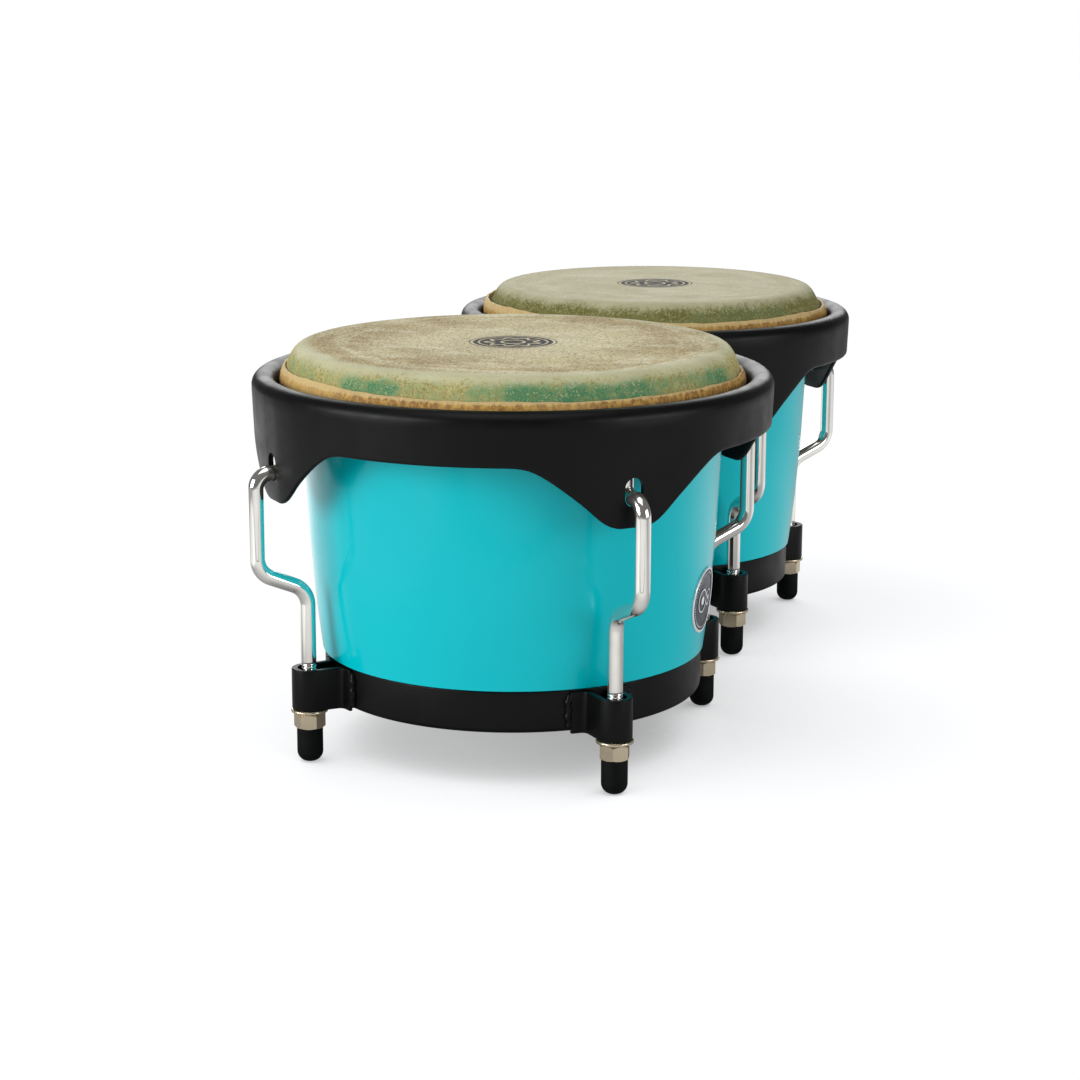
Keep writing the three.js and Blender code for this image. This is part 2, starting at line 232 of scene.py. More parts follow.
class Paint:
    """A Principled material with a few helpers for procedural detail in object coordinates."""

    def __init__(self, name, color, roughness, metallic=0.0, **sockets):
        self.material = bpy.data.materials.new(name)
        self.material.use_nodes = True
        self.tree = self.material.node_tree
        self.shader = self.tree.nodes["Principled BSDF"]
        self.shader.inputs["Base Color"].default_value = (*color, 1)
        self.shader.inputs["Roughness"].default_value = roughness
        self.shader.inputs["Metallic"].default_value = metallic
        for socket, value in sockets.items():
            self.shader.inputs[socket.replace("_", " ")].default_value = value
        self.place = self.node("ShaderNodeTexCoord").outputs["Object"]
        self.height = None

    def node(self, kind, **settings):
        made = self.tree.nodes.new(kind)
        for key, value in settings.items():
            setattr(made, key, value)
        return made

    def link(self, source, target):
        self.tree.links.new(source, target)

    def put(self, value, socket):
        if isinstance(value, bpy.types.NodeSocket):
            self.link(value, socket)
        elif isinstance(value, tuple) and len(value) == 3 and len(socket.default_value) == 4:
            socket.default_value = (*value, 1)
        else:
            socket.default_value = value

    def math(self, operation, a, b=0.0, clamp=False):
        made = self.node("ShaderNodeMath", operation=operation, use_clamp=clamp)
        self.put(a, made.inputs[0])
        self.put(b, made.inputs[1])
        return made.outputs[0]

    def vector(self, operation, a, b):
        made = self.node("ShaderNodeVectorMath", operation=operation)
        self.put(a, made.inputs[0])
        self.put(b, made.inputs[1])
        return made.outputs["Value" if operation in ("LENGTH", "DOT_PRODUCT", "DISTANCE") else "Vector"]

    def noise(self, scale, detail=3.0, stretch=(1, 1, 1), offset=(0, 0, 0), roughness=0.5, distortion=0.0):
        place = self.place
        if stretch != (1, 1, 1):
            place = self.vector("MULTIPLY", place, stretch)
        if offset != (0, 0, 0):
            place = self.vector("ADD", place, offset)
        made = self.node("ShaderNodeTexNoise")
        self.link(place, made.inputs["Vector"])
        made.inputs["Scale"].default_value = scale
        made.inputs["Detail"].default_value = detail
        made.inputs["Roughness"].default_value = roughness
        made.inputs["Distortion"].default_value = distortion
        return made.outputs["Fac"]

    def ramp(self, value, low, high, to_low=0.0, to_high=1.0, smooth=True):
        made = self.node("ShaderNodeMapRange", interpolation_type="SMOOTHSTEP" if smooth else "LINEAR")
        self.put(value, made.inputs["Value"])
        made.inputs["From Min"].default_value = low
        made.inputs["From Max"].default_value = high
        made.inputs["To Min"].default_value = to_low
        made.inputs["To Max"].default_value = to_high
        return made.outputs["Result"]

    def mix(self, share, first, second):
        made = self.node("ShaderNodeMix", data_type="RGBA")
        self.put(share, made.inputs["Factor"])
        self.put(first, made.inputs["A"])
        self.put(second, made.inputs["B"])
        return made.outputs["Result"]

    def color(self, value):
        self.put(value, self.shader.inputs["Base Color"])

    def roughness(self, value):
        self.put(value, self.shader.inputs["Roughness"])

    def bump(self, value, distance, strength=1.0):
        made = self.node("ShaderNodeBump")
        made.inputs["Strength"].default_value = strength
        made.inputs["Distance"].default_value = distance
        self.put(value, made.inputs["Height"])
        if self.height is not None:
            self.link(self.height, made.inputs["Normal"])
        self.height = made.outputs["Normal"]
        self.link(self.height, self.shader.inputs["Normal"])

    def parts(self):
        split = self.node("ShaderNodeSeparateXYZ")
        self.link(self.place, split.inputs[0])
        return split.outputs["X"], split.outputs["Y"], split.outputs["Z"]


def gloss_shell():
    paint = Paint("turquoise_gelcoat", (0.0, 0.41, 0.46), 0.15, Specular_IOR_Level=0.22)
    cloud = paint.noise(9, 2)
    paint.color(paint.mix(paint.ramp(cloud, 0.3, 0.7), (0.0, 0.45, 0.51), (0.0, 0.475, 0.535)))
    paint.roughness(paint.ramp(paint.noise(30, 4), 0.3, 0.7, 0.13, 0.19))
    paint.bump(paint.noise(260, 2), 0.00003, 0.35)
    return paint.material


def raw_fibreglass():
    paint = Paint("raw_fibreglass", (0.16, 0.3, 0.28), 0.55)
    strands = paint.noise(300, 5, stretch=(1, 1, 0.25), roughness=0.7)
    paint.color(paint.mix(paint.ramp(strands, 0.35, 0.65), (0.07, 0.2, 0.2), (0.28, 0.42, 0.37)))
    paint.roughness(paint.ramp(strands, 0.3, 0.7, 0.35, 0.7))
    paint.bump(strands, 0.0004, 0.8)
    return paint.material


def powder_coat():
    base = 0.0018
    dark, dusty = (base, base * 1.08, base * 1.15), (base * 1.35, base * 1.45, base * 1.5)
    paint = Paint("black_powder_coat", dark, 0.34, Specular_IOR_Level=0.16)
    paint.color(paint.mix(paint.ramp(paint.noise(35, 4), 0.35, 0.75), dark, dusty))
    paint.roughness(paint.ramp(paint.noise(90, 3), 0.3, 0.7, 0.34, 0.44))
    paint.bump(paint.noise(1500, 2), 0.00004, 0.5)
    return paint.material


def metal(name, color, low, high, grain, bump=0.00001, metallic=1.0):
    paint = Paint(name, color, low, metallic)
    wear = paint.noise(grain, 3, roughness=0.5)
    darker = tuple(v * 0.9 for v in color)
    paint.color(paint.mix(paint.ramp(wear, 0.3, 0.75), color, darker))
    paint.roughness(paint.ramp(paint.noise(grain * 2.3, 2), 0.3, 0.7, low, high))
    paint.bump(paint.noise(grain * 5, 2), bump, 0.2)
    return paint.material


def rubber():
    paint = Paint("foot_rubber", (0.003, 0.0032, 0.0032), 0.6, Specular_IOR_Level=0.12)
    grime = paint.ramp(paint.noise(160, 4), 0.4, 0.75)
    paint.color(paint.mix(grime, (0.0014, 0.0018, 0.0018), (0.0034, 0.0037, 0.0037)))
    paint.roughness(paint.ramp(paint.noise(60, 3), 0.3, 0.7, 0.52, 0.72))
    paint.bump(paint.noise(2200, 2), 0.00006, 0.6)
    return paint.material


def lacquered_block():
    paint = Paint("block_lacquer", (0.012, 0.011, 0.01), 0.3, Coat_Weight=0.3, Coat_Roughness=0.12)
    grain = paint.noise(60, 5, stretch=(0.12, 1.6, 1.6), roughness=0.65)
    paint.color(paint.mix(paint.ramp(grain, 0.35, 0.7), (0.009, 0.0085, 0.008), (0.022, 0.019, 0.016)))
    paint.roughness(paint.ramp(grain, 0.3, 0.7, 0.26, 0.42))
    paint.bump(grain, 0.00012, 0.5)
    return paint.material


SKIN_LOOKS = {
    "hembra": dict(
        shift=(3.1, 1.7, 0.4), tan=(0.31, 0.23, 0.085), straw=(0.5, 0.425, 0.21), cream=(0.68, 0.63, 0.44),
        dirt=(0.13, 0.09, 0.025), speckle=0.62, pale=0.5, halo=(0.52, 0.53, 0.36), halo_share=0.7, fleck=0.5,
        dark_olive=(0.2, 0.19, 0.065), olive=(0.46, 0.4, 0.175), soft=0.2,
        green=(0.035, 0.19, 0.095), pale_green=(0.17, 0.28, 0.13),
        patches=((163, 6, 0.95), (190, 26, 0.25), (211, 10, 1.0), (238, 22, 0.58)), green_share=0.92,
    ),
    "macho": dict(
        shift=(7.3, 4.9, 2.2), tan=(0.42, 0.39, 0.25), straw=(0.49, 0.465, 0.315), cream=(0.56, 0.53, 0.38),
        dirt=(0.26, 0.235, 0.14), speckle=0.3, pale=0.1, halo=(0.36, 0.355, 0.22), halo_share=0.6, fleck=0.25,
        dark_olive=(0.1, 0.098, 0.026), olive=(0.19, 0.18, 0.062), soft=0.45,
        green=(0.09, 0.14, 0.05), pale_green=(0.16, 0.19, 0.085),
        patches=((228, 18, 0.7),), green_share=0.5,
    ),
}


def skin_paint(drum):
    """The playing skin: mottled disc, pale shoulder, collar with green patches, printed mark."""
    look = SKIN_LOOKS[drum.name]
    shift = look["shift"]
    paint = Paint(f"{drum.name}_skin", look["straw"], 0.5, Specular_IOR_Level=0.08)
    here = paint.vector("SUBTRACT", paint.place, (drum.x * MM, 0.0, 0.0))
    flat = paint.vector("MULTIPLY", here, (1, 1, 0))
    radius = paint.vector("LENGTH", flat, (0, 0, 0))
    way = paint.vector("NORMALIZE", flat, (0, 0, 0))
    z = paint.parts()[2]
    speck = paint.noise(1300, 1, offset=shift)
    grain = paint.noise(620, 3, offset=shift, roughness=0.7)
    cloud = paint.noise(16, 6, offset=shift, roughness=0.7, distortion=0.5)
    blotch = paint.noise(75, 6, offset=shift, roughness=0.75)
    ragged_edge = paint.noise(38, 5, offset=(shift[1], shift[2], shift[0]), roughness=0.65)
    streak = paint.noise(60, 5, stretch=(1.5, 0.6, 1), offset=(shift[1], shift[0], 0), roughness=0.66)
    # Arcs round the centre, where the skin was scraped: noise read along the radius and slowly round it.
    polar = paint.vector("MULTIPLY", way, (0.014, 0.014, 0))
    lift = paint.node("ShaderNodeCombineXYZ")
    paint.link(radius, lift.inputs["Z"])
    arc_place = paint.vector("ADD", polar, lift.outputs[0])
    arcs = paint.node("ShaderNodeTexNoise")
    paint.link(arc_place, arcs.inputs["Vector"])
    arcs.inputs["Scale"].default_value = 95
    arcs.inputs["Detail"].default_value = 5
    arcs.inputs["Roughness"].default_value = 0.62
    outer = paint.ramp(radius, (50 - drum.step) * MM, (84 - drum.step) * MM)
    disc = paint.mix(paint.ramp(cloud, 0.4, 0.58), look["tan"], look["straw"])
    disc = paint.mix(paint.ramp(streak, 0.5, 0.66, 0, 0.7), disc, look["cream"])
    light_arcs = paint.ramp(arcs.outputs["Fac"], 0.49, 0.58, 0, 1.0)
    dark_arcs = paint.ramp(arcs.outputs["Fac"], 0.5, 0.36, 0, 0.5)
    disc = paint.mix(paint.math("MULTIPLY", outer, light_arcs), disc, look["cream"])
    disc = paint.mix(paint.math("MULTIPLY", outer, dark_arcs), disc, look["tan"])
    pale = paint.ramp(radius, (72 - drum.step) * MM, (25 - drum.step) * MM, 0, look["pale"])
    disc = paint.mix(pale, disc, look["cream"])
    brown = paint.math("MULTIPLY", outer, paint.ramp(cloud, 0.62, 0.45, 0.15, 0.6))
    disc = paint.mix(brown, disc, look["tan"])
    disc = paint.mix(paint.ramp(grain, 0.52, 0.66, 0, look["speckle"]), disc, look["dirt"])
    disc = paint.mix(paint.ramp(speck, 0.56, 0.66, 0, look["speckle"]), disc, look["dirt"])
    disc = paint.mix(paint.ramp(speck, 0.43, 0.35, 0, look["speckle"]), disc, (0.66, 0.61, 0.46))
    shoulder = 90.5 - drum.step
    edge = paint.math("ADD", radius, paint.ramp(cloud, 0.3, 0.7, -0.0025, 0.0025))
    halo = paint.ramp(edge, (shoulder - 9) * MM, (shoulder - 2) * MM, 0, look["halo_share"])
    disc = paint.mix(halo, disc, look["halo"])
    # The collar: olive and straw speckle, with green patches at some bearings.
    fine = paint.math("ADD", paint.math("MULTIPLY", grain, 0.55), paint.math("MULTIPLY", speck, 0.45))
    coarse = paint.ramp(blotch, 0.3, 0.7, -0.35, 0.35)
    ragged = paint.math("ADD", coarse, paint.ramp(fine, 0.3, 0.7, -0.4, 0.4))
    torn = paint.math("ADD", ragged, paint.ramp(ragged_edge, 0.32, 0.68, -0.3, 0.3))
    soft = look["soft"]
    collar = paint.mix(paint.ramp(fine, 0.44 - soft / 2, 0.56 + soft / 2), look["dark_olive"], look["olive"])
    collar = paint.mix(paint.ramp(blotch, 0.4, 0.62, 0, 0.5), collar, look["olive"])
    patch = paint.ramp(paint.noise(15, 3, offset=(0.37, 0.9, shift[2]), roughness=0.6), 0.5, 0.66, 0, 0.15)

    def near(bearing, half_width, strength):
        """A soft-sided share, strongest at one bearing of the collar."""
        toward = (math.cos(math.radians(bearing)), math.sin(math.radians(bearing)), 0)
        wide, narrow = math.cos(math.radians(half_width * 1.9)), math.cos(math.radians(half_width * 0.3))
        return paint.ramp(paint.vector("DOT_PRODUCT", way, toward), wide, narrow, 0, strength)

    for bearing, half_width, strength in look["patches"]:
        patch = paint.math("MAXIMUM", patch, near(bearing, half_width, strength))
    low = paint.ramp(z, 0.1692, 0.164, 0, 1, smooth=False)
    green_at = paint.math("ADD", paint.math("MULTIPLY", patch, low), torn)
    green = paint.mix(paint.ramp(green_at, 0.4, 0.8), look["pale_green"], look["green"])
    collar = paint.mix(paint.ramp(green_at, 0.12, 0.55, 0, look["green_share"]), collar, green)
    collar = paint.mix(paint.ramp(fine, 0.54, 0.6, 0, look["fleck"]), collar, look["straw"])
    collar = paint.mix(paint.ramp(fine, 0.46, 0.42, 0, look["fleck"]), collar, look["dark_olive"])
    drop = paint.math("ADD", z, paint.math("MULTIPLY", ragged, 0.0028))
    on_collar = paint.ramp(drop, 0.1696, 0.1644)
    color = paint.mix(on_collar, disc, collar)
    # Printed mark: a thin ring round a dark disc with a plain rosette.
    angle = paint.node("ShaderNodeMath", operation="ARCTAN2")
    split = paint.node("ShaderNodeSeparateXYZ")
    paint.link(here, split.inputs[0])
    paint.link(split.outputs["Y"], angle.inputs[0])
    paint.link(split.outputs["X"], angle.inputs[1])

    def ring(value, inner, outer):
        """1 between two radii in millimetres, with soft edges."""
        return paint.math(
            "MULTIPLY", paint.ramp(value, (inner - 0.15) * MM, (inner + 0.15) * MM),
            paint.ramp(value, (outer + 0.15) * MM, (outer - 0.15) * MM),
        )

    petals = paint.math("SINE", paint.math("MULTIPLY", angle.outputs[0], 9.0))
    wave = paint.math("ADD", radius, paint.math("MULTIPLY", petals, 0.0014))
    rings = paint.math("ADD", ring(radius, 4.2, 5.4), ring(radius, 14.0, 14.8))
    light = paint.math("ADD", ring(wave, 9.3, 10.9), rings)
    ink = paint.math("SUBTRACT", paint.ramp(radius, 0.0169, 0.0166), light, clamp=True)
    ink = paint.math("ADD", ink, ring(radius, 18.0, 18.5), clamp=True)
    worn = paint.ramp(grain, 0.52, 0.78, 1.0, 0.6)
    share = paint.math("MULTIPLY", paint.math("MULTIPLY", ink, worn), paint.ramp(z, 0.1685, 0.169))
    paint.color(paint.mix(share, color, (0.02, 0.02, 0.024)))
    paint.roughness(paint.ramp(grain, 0.3, 0.7, 0.6, 0.8))
    paint.bump(grain, 0.0002, 0.4)
    paint.bump(speck, 0.0001, 0.3)
    return paint.material


def flap_paint():
    paint = Paint("trimmed_skin_edge", (0.55, 0.36, 0.13), 0.68)
    fibre = paint.noise(520, 5, stretch=(1, 1, 0.6), roughness=0.7)
    patch = paint.noise(26, 3)
    color = paint.mix(paint.ramp(fibre, 0.4, 0.62), (0.22, 0.1, 0.012), (0.48, 0.28, 0.055))
    color = paint.mix(paint.ramp(patch, 0.45, 0.65, 0, 0.4), color, (0.52, 0.35, 0.12))
    split = paint.parts()
    # Painted highlight: the strip is painted lighter towards +Y, on its side that faces the left-front lamp.
    left = paint.ramp(split[1], 0.02, 0.085, 0, 0.35)
    color = paint.mix(left, color, (0.7, 0.48, 0.18))
    cut = paint.math("ADD", split[2], paint.ramp(fibre, 0.3, 0.7, -0.0004, 0.0004))
    color = paint.mix(paint.ramp(cut, 0.1588, 0.1596, 0, 0.6), color, (0.58, 0.45, 0.22))
    paint.color(color)
    paint.roughness(paint.ramp(fibre, 0.3, 0.7, 0.55, 0.8))
    paint.bump(fibre, 0.00035, 0.8)
    return paint.material


# ---- Shell, head and hoop ----------------------------------------------------------------

SHELL_OUTSIDE = [(81.2, 41.2), (83, 56), (84.5, 72), (86.1, 94), (87.5, 122), (88.8, 146), (90.2, 163.5)]
SHELL_CURVE = spline(SHELL_OUTSIDE, 6)


def shell_radius(z, step):
    return np.interp(z, SHELL_CURVE[:, 1], SHELL_CURVE[:, 0]) - step


def make_shell(drum, outside, inside):
    foot = fillet([(74.6, 26, 0), (77.6, 25.6, 0.6), (77.6, 41, 0.2), (80.6, 41.05, 0)], 4)
    bearing = fillet([(90.2, 163.5, 0), (89.6, 167.6, 1.6), (86.4, 166.4, 1.4), (85.4, 163, 0)], 6)
    wall = [(r - 5, z) for r, z in SHELL_CURVE[::-1] if 45 < z < 158]
    profile = np.vstack((foot[1:], SHELL_CURVE[:-1], bearing, wall, [(75.9, 41), (73.6, 30), (73.6, 26.4)]))
    vertices, faces = turn_profile(narrowed(profile, drum.step, drum.pull))
    count = len(profile)
    first_inside = len(foot) - 1 + len(SHELL_CURVE) - 1 + len(bearing) - 2
    slots = [1 if (i % count) >= first_inside else 0 for i in range(len(faces))]
    add_piece(
        f"{drum.name}_gelcoat_shell", moved(vertices, drum.x), faces, [outside, inside],
        "shells", [f"{drum.name}_shell"], slots,
    )


def wobble(angles, parts):
    return sum(size * np.sin(waves * angles + phase) for waves, size, phase in parts)


HEAD_TOP = 169.5


def make_head(drum, paint):
    outer = spline([
        (84, HEAD_TOP), (87.2, 169.36), (89.3, 168.75), (90.9, 167.6), (92.1, 166.2), (93.1, 164.6),
        (93.85, 162.9), (94.35, 161.2), (94.6, 159.4), (94.6, 156),
    ], 4)
    radii = np.linspace(0, 84 - drum.step - drum.pull, 26)[:-1]
    top = np.stack((radii, np.full(25, HEAD_TOP)), axis=1)
    edge = fillet([(94.6, 156, 0), (94.6, 139.6, 0.5), (93.2, 139.6, 0.5), (93.2, 159, 0)], 4)
    under = spline([(93.2, 159), (92.3, 163), (91.2, 166), (89.6, 167.7), (87.5, 168.2)], 4)
    bottom = np.array([(60, 168.2), (30, 168.2), (drum.step, 168.2)])
    rest = narrowed(np.vstack((outer, edge[1:], under[1:], bottom)), drum.step, drum.pull)
    profile = np.vstack((top, rest))
    sides = 256
    vertices, faces = turn_profile(profile, sides)
    angles = np.repeat(np.arange(sides) * 2 * math.pi / sides, len(profile))
    lump = wobble(angles, [(3, 0.1, 0.4), (7, 0.07, 1.3), (13, 0.05, 2.2), (29, 0.03, 0.9)])
    radius = np.hypot(vertices[:, 0], vertices[:, 1])
    on_collar = np.clip((168.8 - vertices[:, 2]) / 3, 0, 1) * np.clip((vertices[:, 2] - 160.5) / 1.5, 0, 1)
    on_collar *= radius > 80 - drum.step
    scale = 1 + np.where(on_collar > 0, (lump - 0.22) * on_collar / np.maximum(radius, 1), 0)
    vertices[:, :2] *= scale[:, None]
    add_piece(
        f"{drum.name}_playing_skin", moved(vertices, drum.x), faces, [paint],
        "shells", [f"{drum.name}_head"], sharp=60,
    )


def make_flap(drum, paint):
    """The tucked end of the skin: from its trimmed edge down inside the rim and round the hoop."""
    profile = narrowed(fillet([
        (94.8, 159.7, 0.25), (94.8, 141, 2), (97, 138.1, 1.6), (101.4, 137.9, 1.8), (104.3, 141.2, 1.6),
        (104, 144.6, 0.6), (102.7, 144.4, 0.5), (102.9, 141.7, 1), (101.2, 139.2, 1), (98.2, 139.2, 1),
        (96.4, 141.8, 1), (97.2, 148.4, 3), (97.35, 155, 5), (96.9, 157.4, 3), (95.7, 159.7, 0.35),
    ], 4, closed=True), drum.step)
    raised = 1.9 if drum.step else 0.3
    profile[:, 1] += np.clip((profile[:, 1] - 150) / 8, 0, 1) * raised
    sides = 320
    vertices, faces = turn_profile(profile, sides)
    angles = np.repeat(np.arange(sides) * 2 * math.pi / sides, len(profile))
    phase = 0.7 if drum.step else 0.0
    trim = wobble(angles, [
        (1, 1.0, -0.7 + phase), (3, 0.35, 1.1), (7, 0.22, 2.6), (13, 0.14, 0.2 + phase), (31, 0.08, 1.9),
        (47, 0.07, 0.3),
    ])
    height = np.clip((vertices[:, 2] - 152) / 8, 0, 1)
    vertices[:, 2] += trim * height
    radius = np.hypot(vertices[:, 0], vertices[:, 1])
    swell = wobble(angles, [(4, 0.12, 0.8), (9, 0.1, phase), (17, 0.07, 2.0), (41, 0.04, 1.0)])
    swell *= height * (radius > 95.3 - drum.step)
    vertices[:, :2] *= (1 + swell / radius)[:, None]
    add_piece(
        f"{drum.name}_trimmed_skin_edge", moved(vertices, drum.x), faces, [paint],
        f"{drum.name}_tuning", [f"{drum.name}_skin_tuck"], sharp=50,
    )


def make_hoop(drum, paint):
    turns = np.arange(20) * 2 * math.pi / 20
    profile = np.stack((99.7 + 2.7 * np.cos(turns), 142.4 + 2.7 * np.sin(turns)), axis=1)
    vertices, faces = turn_profile(narrowed(profile, drum.step), 128)
    add_piece(
        f"{drum.name}_wire_hoop", moved(vertices, drum.x), faces, [paint],
        f"{drum.name}_tuning", [f"{drum.name}_flesh_hoop"],
    )


# ---- Rim with slotted ears ---------------------------------------------------------------

# Height of the rim's lower edge by degrees from a lug.
EAR_CURVE = spline([
    (0, 111), (2, 111.05), (4, 111.55), (6, 113.1), (8, 115.9), (10, 119.3), (12, 122.5), (15.5, 127.6),
    (18, 131), (20, 133.4), (22, 135.3), (24, 136.3), (26.5, 136.72), (31, 136.75), (45, 136.75),
], 4)
RIM_TAPER = 0.041
SLOT_BOTTOM, SLOT_TOP, SLOT_HALF = 119.6, 131.2, 4.0
HOOK_HEIGHT = 123.05


def ear_edge(degrees):
    return float(np.interp(abs(degrees % 90 - 45), EAR_CURVE[:, 0], EAR_CURVE[:, 1]))


def rim_section(drum, edge):
    """The rim's closed outline where its lower edge is at height `edge`."""
    outer, lip, crest, sheet = drum.rim, 98 - drum.step, drum.rim - 5, 2.2
    skirt_top, curl = 152.8, 1.1

    def radius_at(z):
        return outer - RIM_TAPER * (skirt_top - z)

    rise = np.linspace(0, 1, 15)[1:]
    middle = radius_at(edge + curl) - sheet / 2
    hem = arc(middle, edge + curl, curl, math.pi, 2 * math.pi, 8)
    front = [(radius_at(z), z) for z in edge + curl + rise * (skirt_top - edge - curl)]
    roll = arc(crest, 153.3, 5, 0.12, math.pi * 0.86, 14)
    leg = [(lip + 0.6, 153.2), (lip + 0.25, 150), (lip + 0.05, 147.6)]
    toe = arc(lip + sheet / 2, 146.9, curl, math.pi, 2 * math.pi, 6)
    back = [(lip + sheet + 0.2, 150), (lip + sheet + 0.9, 152.8)]
    inner_roll = arc(crest, 153.4, 2.7, math.pi * 0.86, 0.12, 9)
    inside = [(radius_at(z) - sheet, z) for z in skirt_top - rise * (skirt_top - edge - curl)]
    return hem + front[:-1] + roll + leg + toe + back + inner_roll + inside[:-1]


def slot_cutter(drum, lug_angle):
    outline = arc(0, SLOT_TOP - SLOT_HALF, SLOT_HALF, 0, math.pi, 13)
    outline += arc(0, SLOT_BOTTOM + SLOT_HALF, SLOT_HALF, math.pi, 2 * math.pi, 13)
    count = len(outline)
    vertices = [(radius, y, z) for radius in (drum.rim - 10, drum.rim + 6) for y, z in outline]
    faces = [tuple(range(count))[::-1], tuple(range(count, 2 * count))]
    faces += [(i, (i + 1) % count, count + (i + 1) % count, count + i) for i in range(count)]
    return moved(vertices, drum.x, turn=lug_angle), faces


def make_rim(drum, paint):
    degrees = []
    for lug in LUG_ANGLES:
        degrees += [lug + offset for offset in (-2.7, 2.7)]
        degrees += [lug - 45 + step * 1.25 for step in range(72) if abs(step * 1.25 - 45) > 3.0]
    degrees = sorted(degrees)
    sections = np.array([rim_section(drum, ear_edge(angle)) for angle in degrees])
    angles = np.radians(degrees)[:, None]
    vertices = np.stack((
        sections[:, :, 0] * np.cos(angles), sections[:, :, 0] * np.sin(angles), sections[:, :, 1],
    ), axis=-1).reshape(-1, 3)
    faces = grid_faces(len(degrees), sections.shape[1], True, True)
    rim = add_piece(
        f"{drum.name}_rolled_rim", moved(vertices, drum.x), faces, [paint],
        f"{drum.name}_tuning", [f"{drum.name}_rim"],
    )
    for lug in LUG_ANGLES:
        cut_vertices, cut_faces = slot_cutter(drum, lug)
        mesh = bpy.data.meshes.new("slot_cutter")
        mesh.from_pydata((cut_vertices * MM).tolist(), [], cut_faces)
        cutter = bpy.data.objects.new("slot_cutter", mesh)
        bpy.context.collection.objects.link(cutter)
        boolean = rim.modifiers.new("slot", "BOOLEAN")
        boolean.operation = "DIFFERENCE"
        boolean.solver = "EXACT"
        boolean.object = cutter
        apply_modifiers(rim)
        bpy.data.objects.remove(cutter)
    rim.data.set_sharp_from_angle(angle=math.radians(38))


def apply_modifiers(piece):
    bpy.context.view_layer.update()
    shape = piece.evaluated_get(bpy.context.evaluated_depsgraph_get())
    mesh = bpy.data.meshes.new_from_object(shape)
    piece.modifiers.clear()
    piece.data = mesh


# ---- Bottom ring, brackets, rods and feet ------------------------------------------------

def make_bottom_ring(drum, paint):
    profile = fillet([
        (72, 23.3, 0.5), (80.2, 23.3, 2.2), (80.2, 40.85, 0.7), (77.9, 40.85, 0.5), (77.9, 25.3, 0.8),
        (72, 25.3, 0.5),
    ], 5, closed=True)
    vertices, faces = turn_profile(narrowed(profile, drum.step))
    add_piece(
        f"{drum.name}_clamp_ring", moved(vertices, drum.x), faces, [paint],
        "shells", [f"{drum.name}_bottom_ring"],
    )


def bracket_outline(drum):
    """The strap round the rod and its flared cheeks, as a closed outline seen from above."""
    back = 80.5 - drum.step
    outer, inner, flange = 7.15, 4.55, 13.0

    def on_back(y, lift=0.0):
        return math.sqrt((back + lift) ** 2 - y ** 2)

    loop = arc(drum.lug, 0, outer, -math.pi / 2, math.pi / 2, 29)
    hole = arc(drum.lug, 0, inner, math.pi / 2, -math.pi / 2, 25)
    flare = fillet([
        (on_back(outer, 6), outer, 0), (on_back(outer, 1.6), outer, 2.2),
        (on_back(flange, 1.5), flange, 0.7), (on_back(flange), flange, 0.5), (on_back(outer), outer, 0),
    ], 6)
    low_flare = [(x, -y) for x, y in flare[::-1]]
    straight = [(x, outer) for x in np.linspace(drum.lug, on_back(outer, 6), 5)[1:-1]]
    low_straight = [(x, -outer) for x, _ in straight[::-1]]
    outside = low_flare + low_straight + loop + straight + [tuple(point) for point in flare]
    return outside + [(on_back(inner), inner)] + hole + [(on_back(inner), -inner)]


def weld_bead(drum, side):
    """The lumpy fillet weld along one upright edge of a bracket's cheek."""
    sides, count, offset = 12, 31, 13.5
    around = np.linspace(0, 2 * math.pi, sides + 1)[:-1]
    foot = np.array((math.sqrt(80.6 ** 2 - offset ** 2) - drum.step, side * offset))
    rings = []
    for step in range(count):
        z = 24.4 + 14.8 * step / 30
        lump = 1 + 0.07 * math.sin(step * 0.9 + side) + 0.04 * math.sin(step * 2.2)
        size = 1.6 * lump * min(1.0, math.sqrt(1 - min(1.0, abs(step - 15) / 15.2) ** 4) + 0.05)
        shift = 0.25 * math.sin(step * 0.55 + 1.3 * side)
        rings.append(np.column_stack((
            foot[0] + size * np.cos(around), foot[1] + shift + size * np.sin(around), np.full(sides, z),
        )))
    return np.vstack(rings), tube_faces(count, sides)


def extrude_soft(outline, bottom, top, bevel):
    """A prism whose long edges at both ends are rounded."""
    outline = np.array(outline, float)
    before, after = np.roll(outline, 1, axis=0), np.roll(outline, -1, axis=0)
    tangent = after - before
    tangent /= np.linalg.norm(tangent, axis=1)[:, None]
    inward = np.stack((-tangent[:, 1], tangent[:, 0]), axis=1)
    layers = []
    turns = np.linspace(0, math.pi / 2, 5)
    levels = [(bottom + bevel * (1 - math.sin(t)), bevel * (1 - math.cos(t))) for t in turns[::-1]]
    levels += [(top - bevel * (1 - math.sin(t)), bevel * (1 - math.cos(t))) for t in turns]
    for z, inset in levels:
        shape = outline + inward * inset
        layers.append(np.column_stack((shape, np.full(len(shape), z))))
    return np.vstack(layers), tube_faces(len(layers), len(outline))


def rod_path(drum):
    tip = drum.rim - 109 + 100.6
    corners = [
        (tip, 130, 0), (tip, HOOK_HEIGHT, 3.6), (drum.upper, HOOK_HEIGHT, 6.5), (drum.upper, 82, 9.5),
        (drum.lug, 73, 9.5), (drum.lug, 43, 0),
    ]
    return fillet(corners, 14)


